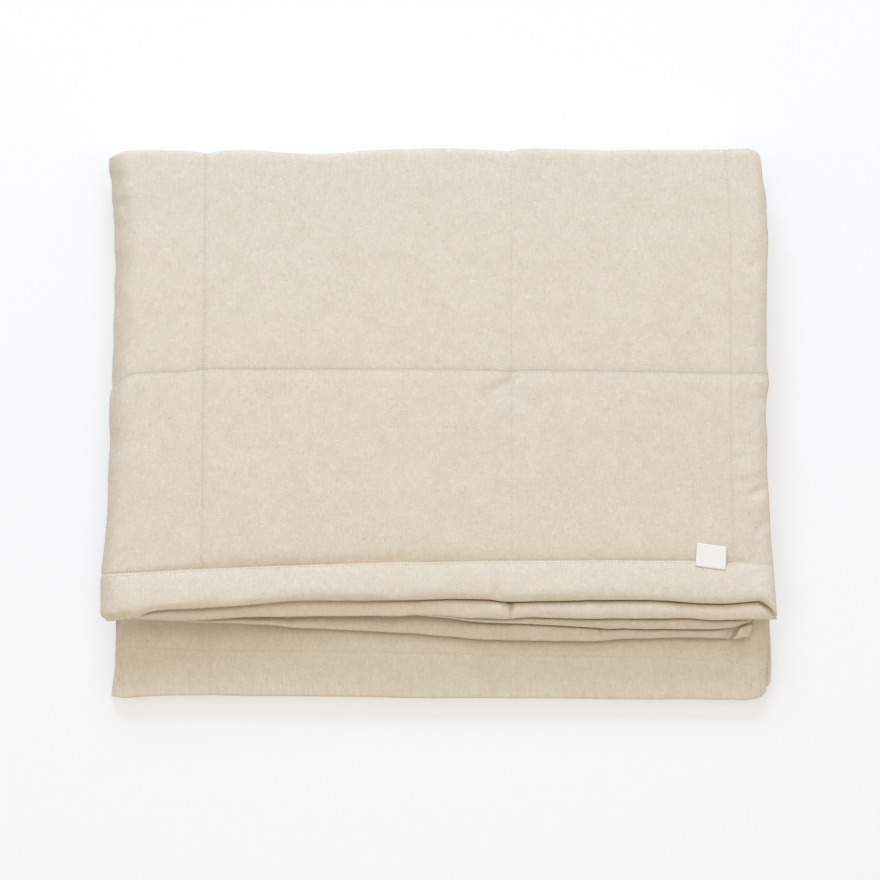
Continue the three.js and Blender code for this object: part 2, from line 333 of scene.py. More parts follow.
# Soft creases on the top: x, y, length, width, angle in degrees, height
CREASES = (
    (80, 44, 34, 9, 25, -3.2), (76, 33, 46, 24, 25, -2.2), (98, 24, 20, 10, -20, -1.6),
    (76, 0, 20, 10, 10, -1.4), (106, 42, 24, 11, -35, 1.3), (100, 8, 22, 10, 50, 1),
    (-144, 13, 34, 20, 30, -0.8), (-92, -25, 50, 22, 0, -0.8), (-42, -87, 80, 24, -55, -0.9),
    (54, -90, 40, 18, 10, -0.8), (-108, -150, 66, 18, 0, -0.9), (-14, -146, 66, 20, 35, -1),
    (114, -146, 30, 18, -50, -0.9), (180, -40, 60, 22, 40, 0.7), (-230, -120, 60, 22, 70, 0.7),
    (361, -46, 20, 9, 0, -1.8), (361, -75, 26, 9, 3, -2), (380, -87, 20, 8, 28, -3.8),
    (385, -129, 26, 11, 35, -3.4), (362, -172, 26, 11, -15, -2.2), (374, -190, 22, 10, 10, -1.8),
    (353, -154, 16, 10, 20, -2.4), (385, 23, 18, 10, -30, -2.2), (372, -30, 30, 11, -25, -1.2),
    (376, -118, 30, 11, 20, -1.6), (378, -62, 22, 10, 10, 1.4), (384, -102, 22, 10, 30, 1.4),
    (383, 90, 26, 10, 60, -1.2), (382, 190, 30, 10, 70, -1.2), (376, -150, 26, 10, -30, -1.4),
    (372, -170, 24, 9, 40, -1), (68, -208, 20, 7, 98, -5), (-50, -206, 26, 9, 80, -3),
    (-376, -234, 14, 8, 10, -3), (-36, -211, 18, 9, 70, -1.4), (84, -207, 20, 12, 90, 1.3),
    (-260, -215, 40, 14, 10, -0.8), (150, -203, 60, 12, 5, 0.7),
    (250, -205, 50, 12, -8, -0.9), (310, -206, 40, 12, 12, -0.9), (200, -190, 40, 14, -30, -0.7),
    (-388, 298, 36, 9, 78, -4.6), (-385, 264, 30, 9, 104, -2.8), (-377, 312, 26, 9, 50, -3.4),
    (-381, 232, 34, 9, 80, -2.4), (-378, 170, 60, 11, 88, -1.4), (-378, 100, 50, 11, 92, -1.3),
    (-373, 288, 40, 10, 80, 1.6), (-390, 276, 18, 9, 20, 2), (-388, 246, 18, 9, -20, 2),
    (-381, -10, 44, 11, 84, -1.1), (-385, -120, 40, 11, 96, -1),
)


def curve(table, column, places):
    """Smooth values of a table's column at places on its first column, level beyond its ends."""
    table = np.array(table, float)
    x, y = table[:, 0], table[:, column]
    gap = np.diff(x)
    slope = np.diff(y) / gap
    lean = np.zeros_like(y)
    before, after = slope[:-1], slope[1:]
    same = before * after > 0
    lean[1:-1][same] = 2 * before[same] * after[same] / (before[same] + after[same])
    q = np.clip(places, x[0], x[-1])
    i = np.clip(np.searchsorted(x, q, side="right") - 1, 0, len(x) - 2)
    f = (q - x[i]) / gap[i]
    return (
        y[i] * (1 + 2 * f) * (1 - f) ** 2
        + lean[i] * gap[i] * f * (1 - f) ** 2
        + y[i + 1] * f * f * (3 - 2 * f)
        + lean[i + 1] * gap[i] * f * f * (f - 1)
    )


def ease(value):
    """0 below 0, 1 above 1 and a smooth step between."""
    f = np.clip(value, 0.0, 1.0)
    return f * f * (3 - 2 * f)


def fading(distance, reach, power=2):
    """1 at no distance, falling to 0 at a reach."""
    return np.clip(1 - distance / reach, 0, 1) ** power


def hump(distance, reach):
    """1 at no distance, falling smoothly on both sides."""
    return np.exp(-((distance / reach) ** 2))


def ladder(value, rungs, levels):
    """Levels at values between rungs, on straight lines; the levels may differ by place."""
    result = levels[0] + 0.0 * value
    for k in range(len(rungs) - 1):
        share = (value - rungs[k]) / (rungs[k + 1] - rungs[k])
        inside = (value >= rungs[k]) & (value <= rungs[k + 1])
        result = np.where(inside, levels[k] + (levels[k + 1] - levels[k]) * share, result)
    return result


def soft_noise(x, y, seed):
    """Smooth noise from about -1 to 1 with features about one unit wide."""
    size = 128
    grid = np.random.default_rng(seed).uniform(-1.0, 1.0, (size, size))
    i, j = np.floor(x).astype(int), np.floor(y).astype(int)
    f, g = ease(x - i), ease(y - j)
    i, j, next_i, next_j = i % size, j % size, (i + 1) % size, (j + 1) % size
    near = grid[i, j] * (1 - f) + grid[next_i, j] * f
    far = grid[i, next_j] * (1 - f) + grid[next_i, next_j] * f
    return near * (1 - g) + far * g


def uneven(u, v, kind):
    """Unevenness of a kind on the flat cloth."""
    height, size_u, size_v, seed = kind
    return height * soft_noise(u / size_u, v / size_v, seed)


def nominal_x(u):
    """Rough x of places across the cloth, on any layer."""
    inward = np.minimum(np.minimum(u, WIDTH - u), SIDE_RUN)
    return HALF_ACROSS - inward * (2 * HALF_ACROSS - PITCH) / SIDE_RUN


def section_of(v):
    """Section of the way that each place is in, and how far along it is."""
    index = np.clip(np.searchsorted(STOPS, v, side="right") - 1, 0, len(SECTIONS) - 1)
    return index, (v - STOPS[index]) / (STOPS[index + 1] - STOPS[index])


def front_edge(table, across, seed):
    """A layer's front edge at places across, a little uneven."""
    row = 0.5 + 0.0 * across
    wobble = sum(part * soft_noise(across / size, row, seed + more) for size, part, more in EDGE_WAVES)
    return curve(table, 1, across) + WOBBLE * wobble


def edge_lines(u):
    """Front edges, shown stitching and folds over the cloth: y by name, at places across it."""
    across = nominal_x(u)
    under_from = UNDER_RIGHT - (HALF_ACROSS - across) / UNDER_WIDER
    under_at = HALF_ACROSS - (UNDER_RIGHT - across) * UNDER_WIDER
    second_over = front_edge(EDGE_2, under_from, 32)
    third = front_edge(EDGE_3, across, 33)
    return {
        "end_1": front_edge(EDGE_1, across, 31),
        "end_2": front_edge(EDGE_2, across, 32),
        "end_3": third,
        "end_4": front_edge(EDGE_4, across, 34),
        "over_3": second_over,
        "over_4": np.minimum(second_over, third),
        "over_lower": front_edge(EDGE_4, under_at, 34),
        "hem": curve(HEM_LINE, 1, across),
        "top": curve(TOP_LINE, 1, across),
        "lower": curve(LOWER_LINE, 1, across),
        "back": BACK_CENTRE + curve(BACK_FOLD, 1, across) - HALF_DEEP,
        "front": FRONT_CENTRE + curve(FRONT_FOLD, 1, across) + HALF_DEEP - FRONT_INSET,
    }


def run_places(u, v, index, share):
    """The y of the cloth's middle in each run, or of the centre of each turn."""
    outer = u <= WIDTH / 2
    line = edge_lines(u)
    back, front = line["back"], line["front"]
    top_line, lower_line = END_LINES[1][0], LENGTH - END_LINES[4][0]
    from_2 = np.maximum(line["end_1"], line["end_2"] + LEAST_STRIP)
    from_3 = np.maximum(line["over_3"], line["end_3"] + LEAST_STRIP)
    from_4 = np.maximum(line["over_4"], line["end_4"] + LEAST_STRIP)
    top_places, top_ways = (HEM, top_line, STOPS[OUTER_BACK]), (line["hem"], line["top"], back)
    over_1 = ladder(v, (0, *top_places), (line["end_1"], *top_ways))
    over_2 = ladder(v, (0, STRIP, *top_places), (line["end_2"], from_2, *top_ways))
    under = (STOPS[UNDER_RUN], LENGTH - STRIP, LENGTH)
    over_3 = ladder(v, under, (back, from_3, line["end_3"]))
    over_4 = ladder(v, under, (back, from_4, line["end_4"]))
    lower = ladder(
        v,
        (STOPS[MIDDLE_RUN], lower_line, LOWER_STRIP, STOPS[INNER_BACK]),
        (front, line["lower"], line["over_lower"], back),
    )
    top, bottom = np.where(outer, over_1, over_2), back + (front - back) * share
    return np.choose(index, (top, back, bottom, front, lower, back, np.where(outer, over_4, over_3)))


def turn_shape(index, share):
    """How far out and up each place of a turn is, in turn radii."""
    turn = (share - 0.5) * math.pi
    out, up = np.cos(turn), np.sin(turn)
    for section, sign, way, way_out, way_up in SQUARED:
        out = np.where(index == section, np.interp(share, way, way_out), out)
        up = np.where(index == section, sign * np.interp(share, way, way_up), up)
    return out, up


def side_places(v, index, outer, y):
    """The x of the left fold and of the right free edge at places along the cloth."""
    left, right_outer, right_inner = (
        np.choose(index, [curve(table, column, y) for table in SIDES]) for column in (1, 2, 3)
    )
    wobble = SIDE_WOBBLE * soft_noise(v / SIDE_WAVE, 0.5 + 3.0 * outer, 41)
    return left, np.where(outer, right_outer, right_inner) + wobble


def settled(index, x, y, z, from_left, from_right):
    """Heights once the packet has sunk at its sides, at its front and into its hollow."""
    lean = 1 - LEAN_RIGHT * x / HALF_ACROSS + LEAN_FRONT * y / HALF_DEEP
    at_left = ease((LEFT_FROM - x) / LEFT_FADE)
    slope_from = FRONT_FROM + FRONT_FROM_LEFT * at_left
    down = np.clip((slope_from - y) / (slope_from + HALF_DEEP), 0, 1)
    even = FRONT_STRAIGHT * down + (1 - FRONT_STRAIGHT) * ease(down)
    squash = 1 - FRONT_SQUASH * (even + (1 - (1 - down) ** LEFT_SLOPE - even) * at_left)
    left_drop, left_reach = curve(LEFT_ROLL, 1, y), curve(LEFT_ROLL, 2, y)
    squash = squash - left_drop * fading(from_left, left_reach, LEFT_POWER)
    right_drop = np.where(index == UNDER_RUN, 0.0, RIGHT_DROP)
    squash = squash - right_drop * fading(from_right, RIGHT_REACH)
    hollow = HOLLOW * hump(y - HOLLOW_AT, HOLLOW_REACH) * ease((HOLLOW_RIGHT - x) / HOLLOW_FADE)
    pressed = np.where(index == MIDDLE_RUN, 2 * hollow * np.maximum(z - 2 * PITCH, 0.0), 0.0)
    return (z - pressed) * lean * squash


def turned_corner(u, v):
    """Rise of the fourth layer's turned-up corner, and the troughs beside it."""
    flap = FLAP_RISE * ease((FLAP - u) / FLAP_STEP)
    pocket = sum(deep * hump(u - FLAP - at, wide) for at, wide, deep in POCKETS)
    return (flap - pocket * (u > FLAP)) * ease((STRIP - LENGTH + v) / FLAP_FADE)


def cloth(u, v, out):
    """Places of points of the cloth: u across, v along, out from the middle of its thickness."""
    u, v, out = np.broadcast_arrays(u, v, out)
    index, share = section_of(v)
    outer = u <= WIDTH / 2
    centre_y = run_places(u, v, index, share)
    radius = RADIUS[index] * PITCH
    turning = radius > 0
    heading = np.where(index == FRONT_TURN, -1.0, 1.0)
    turn_out, turn_up = turn_shape(index, share)
    middle_y = np.where(turning, centre_y + heading * radius * turn_out, centre_y)
    left, right = side_places(v, index, outer, middle_y)

    reach = TURN + out
    bend = TURN + BEND_THICKNESS / 2
    inward = np.minimum(u, WIDTH - u)
    angle = np.clip((u - SIDE_RUN) / TURN, 0.0, math.pi)
    straight_left, straight_right = (np.choose(index, column) for column in zip(*STRAIGHT))
    flat_x = straight_right + (straight_left + bend - straight_right) * inward / SIDE_RUN
    flat_x = flat_x + (right - straight_right) * (1 - ease(inward / OUTLINE_REACH))
    flat_x = flat_x + (left - straight_left) * (1 - ease((SIDE_RUN - inward) / OUTLINE_REACH))
    x = np.where(inward <= SIDE_RUN, flat_x, left + bend - reach * np.sin(angle))

    from_left = np.maximum(x - left, LEAST_LEFT)
    round_now = np.sqrt(1 - fading(from_left, bend))
    round_soft = 1 - fading(from_left, SIDE_ROLL)
    rise = reach * np.cos(angle) * round_soft / round_now
    turn_reach = radius + SIDE[index] * rise
    fill = CORNER_FILL * bend * (1 - round_soft)
    level = LEVEL[index] * PITCH - (PITCH - PUFF) / 2
    y = np.where(turning, centre_y + heading * (turn_reach + fill) * turn_out, middle_y)
    z = np.where(turning, level + turn_reach * turn_up, level + SIDE[index] * rise)
    z = settled(index, x, y, z, from_left, right - x)
    z = z + np.where(outer & (index == UNDER_RUN), turned_corner(u, v), 0.0)
    return np.stack((x, y, z), axis=-1)


def seam_dip(u, v):
    """How far the cloth's face sinks at its stitching, and the distance to the nearest line."""
    side, end = np.minimum(u, WIDTH - u), np.minimum(v, LENGTH - v)
    sunk, nearest = 0.0 * side, FAR + 0.0 * side
    top_end = (u <= WIDTH / 2) & (v < LENGTH / 2)
    across = nominal_x(u)
    lower_runs = (v > STOPS[BOTTOM_RUN]) & (v < STOPS[INNER_BACK])
    calm = np.where(lower_runs, 1 - LINE_CALM, 1.0)
    for lines, place, other in ((SIDE_LINES, side, end), (END_LINES, end, side)):
        on_side = lines is SIDE_LINES
        for line, deep_in, reach_in, deep_out, reach_out, slit in lines:
            is_hem = line in (HEM, SIDE_HEM)
            end_hem = is_hem and not on_side
            beyond = np.maximum(0, HEM - other) if is_hem else 0.0
            away = np.hypot(place - line, beyond)
            if end_hem:
                deep_in = np.where(top_end, curve(HEM_DIP, 1, across), deep_in)
                reach_in = np.where(top_end, curve(HEM_DIP, 2, across), reach_in)
            deep = np.where(place >= line, deep_in, deep_out)
            reach = np.where(place >= line, reach_in, reach_out)
            pull = calm if on_side else 1.0
            if on_side and not is_hem:
                pull = calm * ease((other - HEM + COLUMN_BEFORE) / COLUMN_FADE)
            cut = hump(away, LINE_REACH)
            power = np.where(top_end & (place >= line) & end_hem, HEM_POWER, DIP_POWER)
            near = fading(np.abs(place - line), reach, power)
            if on_side:
                near = near * np.where(deep_in < deep_out, ease((line - place) / STEP_REACH), 1.0)
            ends = 1 - ease(beyond / HEM_FADE)
            sunk = sunk + (slit * cut + deep * near * ends) * pull
            nearest = np.minimum(nearest, away)
    return sunk, nearest


def half_thickness(u, v):
    """Half the cloth's thickness, less at its sharp turns."""
    bend = np.maximum(0, np.abs(u - WIDTH / 2) - SIDE_TURN / 2)
    for turn in (FRONT_TURN, INNER_BACK):
        away = np.maximum(STOPS[turn] - v, v - STOPS[turn + 1])
        bend = np.minimum(bend, np.maximum(0, away))
    return 0.5 * (BEND_THICKNESS + (PUFF - BEND_THICKNESS) * ease(bend / BEND_FADE))


def corner(edge, radius):
    """Drop of a rounded corner at distances from an edge."""
    return radius * (1 - np.sqrt(1 - np.clip(1 - edge / radius, 0, ALMOST_ONE) ** 2))


def facing_up(u, v):
    """1 where the outer face looks up, -1 where it looks down."""
    levels = (1.0, 1.0, -1.0, -1.0, 1.0, 1.0, -1.0, -1.0)
    return ladder(v, STOPS, levels) * np.where(u <= WIDTH / 2, 1.0, -1.0)


def tuck(u, v):
    """Change of a layer's upper face beside the edge of the layer that lies on it."""
    index, _ = section_of(v)
    line = edge_lines(u)
    place = cloth(u, v, 0.0)
    outer = u <= WIDTH / 2
    across = nominal_x(u)
    third_shows = line["over_3"] - line["end_3"]
    alone = 1 - ease((third_shows - COVERED_FROM) / COVERED_FADE)
    fourth_deep = TUCK + (HIDDEN_TUCK - TUCK) * alone
    fourth_reach = ROLL + (HIDDEN_ROLL - ROLL) * alone
    fourth_power = STEEP + (SLOW - STEEP) * alone
    second = [curve(SECOND, k, across) for k in (1, 2, 3)]
    second_power = STEEP + (SLOW - STEEP) * ease((second[2] - ROLL) / SLOW_FADE)
    no_edge = -FAR + 0.0 * u
    cases = (
        ((index == TOP_RUN) & ~outer, line["end_1"], line["end_2"], *second, second_power),
        ((index == UNDER_RUN) & ~outer, line["over_3"], line["end_3"], 1.0, TUCK, ROLL, STEEP),
        (
            (index == UNDER_RUN) & outer, line["over_4"], line["end_4"],
            1.0 - alone, fourth_deep, fourth_reach, fourth_power,
        ),
        (
            (index == MIDDLE_RUN) & outer, line["over_lower"], no_edge,
            0.0, curve(LOWEST, 1, across), curve(LOWEST, 2, across), SLOW,
        ),
    )
    ended = ease((UNDER_RIGHT + LOWEST_PAST - place[..., 0]) / LOWEST_FADE)
    change = 0.0 * place[..., 0]
    for here, above, edge, lift, deepest, longest, power in cases:
        ahead = above - place[..., 1]
        wide = np.maximum(above - edge, LEAST_WIDE)
        deep = deepest * np.minimum(1, wide / FULL_WIDE)
        rise = lift * np.minimum(ROLL_RISE, ROLL_SHARE * wide)
        reach = np.minimum(longest, MOST_REACH * wide)
        lifted = (1 - fading(ahead, reach)) ** power
        covered = -deep * np.exp(ahead / TUCK_BACK)
        shape = np.where(ahead > 0, (deep + rise) * lifted - deep, covered)
        change = np.where(here, shape * np.where(index == MIDDLE_RUN, ended, 1.0), change)
    return change


def strip_creases(u, v):
    """How far short creases and unevenness sink the upper face of the layers' shown strips."""
    side, end = np.minimum(u, WIDTH - u), np.minimum(v, LENGTH - v)
    outer = u <= WIDTH / 2
    sunk = 0.0 * side
    for table, here in (
        (SECOND_CREASES, ~outer & (v < LENGTH / 2)),
        (FOURTH_CREASES, outer & (v > LENGTH / 2)),
    ):
        for at, deep, far, near in table:
            reach = near + (far - near) * ease(end / STRIP)
            bell = fading(np.abs(side - at), reach, CREASE_POWER)
            share = CREASE_LEAST + (1 - CREASE_LEAST) * ease(end / STRIP)
            sunk = sunk + np.where(here, deep * bell * share, 0.0)
    apart = 7 * STRIP_UNEVEN[2] * outer
    waves = np.where(outer & (v < LENGTH / 2), 0.0, uneven(side, end + apart, STRIP_UNEVEN))
    return (sunk + waves) * (1 - ease((end - STRIP) / STRIP_FADE))


def faces_at(u, v):
    """Distances of the outer and the inner face from the middle of the cloth."""
    half = half_thickness(u, v)
    side, end = np.minimum(u, WIDTH - u), np.minimum(v, LENGTH - v)
    edge = np.minimum(side, end)
    sunk, _ = seam_dip(u, v)
    top_end = (u <= WIDTH / 2) & (v < LENGTH / 2)
    drop, reach, power = (np.where(top_end, *pair) for pair in zip(TOP_LIP, LIP))
    second = (u > WIDTH / 2) & (v < LENGTH / 2)
    drop = np.where(second, curve(SECOND, 4, nominal_x(u)), drop)
    reach = np.where(second, curve(SECOND, 5, nominal_x(u)), reach)
    end_lip = drop * fading(end, reach, power)
    fall = np.clip((end - CROWN_AT) / (HEM - CROWN_AT), 0, 1)
    crown = curve(BORDER, 1, nominal_x(u)) * (1 - fall ** CROWN_POWER) * top_end
    side_lip = SIDE_LIP_DROP * fading(side, SIDE_LIP_REACH)
    upper = half - np.maximum(end_lip, side_lip) - corner(edge, LIP_CORNER)
    upper = upper - sunk + tuck(u, v) + crown - strip_creases(u, v)
    lower = half - LIP_UNDER * fading(edge, LIP_UNDER_REACH)
    lower = lower - corner(edge, LIP_CORNER / 2) - UNDER_DIP * sunk
    upper = np.maximum(upper, THINNEST - lower)
    share = 0.5 + 0.5 * facing_up(u, v)
    outer = share * upper + (1 - share) * lower
    inner = share * lower + (1 - share) * upper
    return outer, -inner


def shown_relief(u, v):
    """Unevenness of the outer face where it shows."""
    index, _ = section_of(v)
    place = cloth(u, v, 0.0)
    x, y = place[..., 0], place[..., 1]
    at_front = (index == FRONT_TURN) | (index == MIDDLE_RUN)
    shown = np.where(index <= OUTER_BACK, 1.0, at_front * ease((SLOPE_FROM - y) / SLOPE_FADE))
    _, seam = seam_dip(u, v)
    squares = ease(seam / SEAM_FADE) * ease(np.minimum(u, v) / SEAM_FADE)
    right_strip = ease((SIDE_HEM + RIGHT_PAST - u) / RIGHT_FADE) * ease(u / RIGHT_EDGE)
    left_roll = ease((u - SIDE_RUN + ROLL_WIDTH) / ROLL_FADE)
    border = ease((HEM - v) / BORDER_FADE) * ease(v / BORDER_EDGE)
    shares = (squares, squares, right_strip, left_roll, border)
    relief = sum(share * uneven(u, v, kind) for share, kind in zip(shares, SHOWN_UNEVEN))
    for at_x, at_y, long, wide, angle, height in CREASES:
        a = math.radians(angle)
        along = (x - at_x) * math.cos(a) + (y - at_y) * math.sin(a)
        beside = (y - at_y) * math.cos(a) - (x - at_x) * math.sin(a)
        bell = hump(2 * along, long) * hump(2 * beside, wide)
        relief = relief + np.where(index == TOP_RUN, height * bell, 0.0)
    return ease((WIDTH / 2 - u) / FOLD_FADE) * shown * relief


def outer_half(u, v):
    """Distance of the outer face, with its relief, from the middle of the cloth."""
    outer, inner = faces_at(u, v)
    return np.maximum(outer + shown_relief(u, v), inner + THINNEST)


# Steps to the cloth's points from its edges, its shown and hidden stitching, the layers' grooves,
# the front fold's upper corner, the turned-up corner and the sharp creases
EDGE_STEPS = (0, 0.12, 0.5, 1.1, 2.0, 3.6, 6.0, 9.0)
SHOWN_STEPS = (0, 0.9, -0.9, 2.6, -2.6, 6.5, -6.5)
HIDDEN_STEPS = (0, 6.0, -6.0)
GROOVE_STEPS = (0, 0.4, 1.0, 1.9, 3.1, 4.6, 6.5, -0.5, -2.0, -5.0)
FOLD_STEPS = (-1.6, -0.8, 0, 0.8, 1.6)
FLAP_STEPS = (-5, -1.8, -0.8, -0.1, 0.1, 1.4, 3.4, 5.6, 8.6, 11.6)
CREASE_STEPS = (-6, -3, 0, 3, 6)
CLOSEST = 2.0
SHARP = [crease[0] for crease in FOURTH_CREASES[:2]]
CORNER_SHARE = 0.75
FRONT_CORNER = STOPS[FRONT_TURN] + CORNER_SHARE * (STOPS[MIDDLE_RUN] - STOPS[FRONT_TURN])

# Stretches where the inner face has all of these points: at the edges and the sharp creases
WHOLE_EDGE = 32.0
WHOLE_CREASE = 7.0


def stations(zones, shown, hidden, extra):
    """Places along one way of the cloth, close together at edges, grooves and stitching."""
    start, length = 0, zones[-1][0]
    kept = list(EDGE_STEPS) + [length - step for step in EDGE_STEPS] + list(extra)
    for lines, steps in ((shown, SHOWN_STEPS), (hidden, HIDDEN_STEPS)):
        kept += [line + step for line in lines for step in steps]
    kept = sorted(set(kept))
    spread = []
    for stop, step in zones:
        spread += list(np.linspace(start, stop, max(1, round((stop - start) / step)) + 1))
        start = stop
    for place in sorted(spread):
        if min(abs(place - other) for other in kept) > CLOSEST:
            kept.append(place)
    return np.array(sorted(kept))


def coarser(places, whole):
    """Every other station, and all of those in the stretches given."""
    keep = np.arange(len(places)) % 2 == 0
    for start, stop in whole:
        keep |= (places >= start) & (places <= stop)
    return np.flatnonzero(keep)


# Zones across and along the cloth, each from the one before: stop, step
across = stations(
    (
        (60, 5.0), (285, 8.0), (350, 3.6), (SIDE_RUN - 66, 8.4), (SIDE_RUN - 30, 6.0), (SIDE_RUN, 4.0),
        (WIDTH - SIDE_RUN, SIDE_TURN / 8), (WIDTH - SIDE_RUN + 30, 6.0), (WIDTH, 9.5),
    ),
    [line[0] for line in SIDE_LINES] + [WIDTH - line[0] for line in SIDE_LINES[1:]],
    [WIDTH - HEM],
    [FLAP + step for step in FLAP_STEPS] + [at + step for at in SHARP for step in CREASE_STEPS],
)
along = stations(
    (
        (125, 6.0), (190, 3.8), (240, 8.0), (END_LINES[1][0], 3.6), (440, 8.4),
        (STOPS[OUTER_BACK], 4.0), (STOPS[BOTTOM_RUN], 3.6), (STOPS[FRONT_TURN] - 20, 45.0),
        (STOPS[MIDDLE_RUN] + 20, 2.9), (STOPS[MIDDLE_RUN] + 75, 5.0), (STOPS[INNER_BACK], 50.0),
        (STOPS[UNDER_RUN], 4.2), (LENGTH - 50, 50.0), (LENGTH, 6.0),
    ),
    (HEM, END_LINES[1][0], LENGTH - END_LINES[4][0]),
    [line[0] for line in END_LINES[2:]] + [LENGTH - line[0] for line in END_LINES[:4]],
    [STRIP - step for step in GROOVE_STEPS]
    + [LENGTH - STRIP + step for step in GROOVE_STEPS]
    + [LOWER_STRIP - step for step in GROOVE_STEPS]
    + [FRONT_CORNER + step for step in FOLD_STEPS],
)
beside_creases = [(at - WHOLE_CREASE, at + WHOLE_CREASE) for at in SHARP]
across_kept = coarser(across, [(0, WHOLE_EDGE), *beside_creases, (WIDTH / 2, WIDTH)])
along_kept = coarser(along, [(0, WHOLE_EDGE), (LENGTH - WHOLE_EDGE, LENGTH)])


def grid_faces(rows, columns, start, flip):
    """Faces of a grid of points, numbered from a start."""
    r, c = np.meshgrid(np.arange(rows - 1), np.arange(columns - 1), indexing="ij")
    a = (start + r * columns + c).ravel()
    quads = np.stack((a, a + columns, a + 1 + columns, a + 1), axis=1)
    return (quads[:, ::-1] if flip else quads).tolist()


def rim_faces(upper, lower, flip):
    """Faces between an edge's upper points and the fewer lower ones, given as (place, vertex)."""
    faces = []
    for (place, low), (next_place, next_low) in zip(lower, lower[1:]):
        face = [low, next_low, *upper[place : next_place + 1][::-1]]
        faces.append(face[::-1] if flip else face)
    return faces


def new_object(name, points, faces, smooth=True):
    """A mesh in the scene, from points in metres."""
    mesh = bpy.data.meshes.new(name)
    mesh.from_pydata([tuple(p) for p in points], [], [tuple(int(i) for i in f) for f in faces])
    mesh.polygons.foreach_set("use_smooth", [smooth] * len(mesh.polygons))
    mesh.update()
    obj = bpy.data.objects.new(name, mesh)
    bpy.context.scene.collection.objects.link(obj)
    return obj


def set_uv(obj, flat):
    """The cloth's flat places, in metres, as its texture coordinates."""
    layer = obj.data.uv_layers.new(name="flat")
    corner = np.empty(len(obj.data.loops), int)
    obj.data.loops.foreach_get("vertex_index", corner)
    layer.data.foreach_set("uv", (flat[corner] * MM).ravel())


# The bedspread's cloth
u_high, v_high = np.meshgrid(across, along)
u_low, v_low = np.meshgrid(across[across_kept], along[along_kept])
outer_points = cloth(u_high, v_high, outer_half(u_high, v_high))
inner_points = cloth(u_low, v_low, faces_at(u_low, v_low)[1])
upper_index = np.arange(u_high.size).reshape(u_high.shape)
lower_index = u_high.size + np.arange(u_low.size).reshape(u_low.shape)
faces = grid_faces(*u_high.shape, 0, False) + grid_faces(*u_low.shape, u_high.size, True)
for end, flip in ((0, True), (-1, False)):
    faces += rim_faces(upper_index[end], list(zip(across_kept, lower_index[end])), flip)
for end, flip in ((0, False), (-1, True)):
    faces += rim_faces(upper_index[:, end], list(zip(along_kept, lower_index[:, end])), flip)
points = np.concatenate((outer_points.reshape(-1, 3), inner_points.reshape(-1, 3)))
flat = np.concatenate(
    [np.stack(pair, -1).reshape(-1, 2) for pair in ((u_high, v_high), (u_low, v_low))]
)
low, high = points.min(0), points.max(0)
shift = np.array((-(low[0] + high[0]) / 2, -(low[1] + high[1]) / 2, -low[2]))
bedspread = new_object("bedspread_cloth", (points + shift) * MM, faces)
set_uv(bedspread, flat)


def on_top(u, v, height):
    """Points above the shown face of the cloth, in millimetres."""
    return cloth(u, v, outer_half(u, v) + height) + shift


# Stitches along the lines that show: place, start, stop, half thickness, rise; and their pitch,
# half length in pitches, height of the ends and flatness
BACK_STOP = STOPS[OUTER_BACK] + 40
ACROSS_STITCHES = (
    (HEM - 2.2, SIDE_HEM, 54.0, 0.95, 0.8),
    (HEM - 2.2, 91.0, 792.0, 0.95, 0.8),
    (280.6, 4.0, 788.0, 0.65, 0.5),
    (LENGTH - END_LINES[4][0], 4.0, 788.0, 0.9, 0.75),
)
ALONG_STITCHES = (
    (SIDE_HEM + 0.9, HEM, BACK_STOP, 0.55, 0.35),
    (312.0, HEM + 4, BACK_STOP, 0.6, 0.4),
    (686.4, HEM + 4, BACK_STOP, 0.55, 0.35),
    (SIDE_HEM + 0.9, STOPS[FRONT_TURN], STOPS[MIDDLE_RUN] + 75, 0.6, 0.4),
)
STITCH_PITCH = 3.6
STITCH_HALF = 0.33
STITCH_ENDS = -0.2
STITCH_FLAT = 0.7
TINY = 1e-9
stitch_points, stitch_faces = [], []
for lines, turned in ((ACROSS_STITCHES, False), (ALONG_STITCHES, True)):
    for line, start, stop, half, rise in lines:
        middle = np.arange(start, stop, STITCH_PITCH)
        still = np.full_like(middle, line)
        three = []
        for step, height in ((-STITCH_HALF, STITCH_ENDS), (0, rise), (STITCH_HALF, STITCH_ENDS)):
            at = middle + step * STITCH_PITCH
            place = (still, at) if turned else (at, still)
            three.append(on_top(*place, height))
        first, centre, last = three
        beside = np.cross(last - first, np.array((0.0, 0.0, 1.0)))
        beside /= np.linalg.norm(beside, axis=1, keepdims=True) + TINY
        up = np.array((0.0, 0.0, STITCH_FLAT))
        for k in range(len(middle)):
            base = len(stitch_points)
            ring = [centre[k] + half * o for o in (beside[k], up, -beside[k], -up)]
            stitch_points += [first[k], last[k], *ring]
            for a, b in ((2, 3), (3, 4), (4, 5), (5, 2)):
                stitch_faces.append((base, base + a, base + b))
                stitch_faces.append((base + 1, base + b, base + a))
stitching = new_object("stitching", np.array(stitch_points) * MM, stitch_faces)

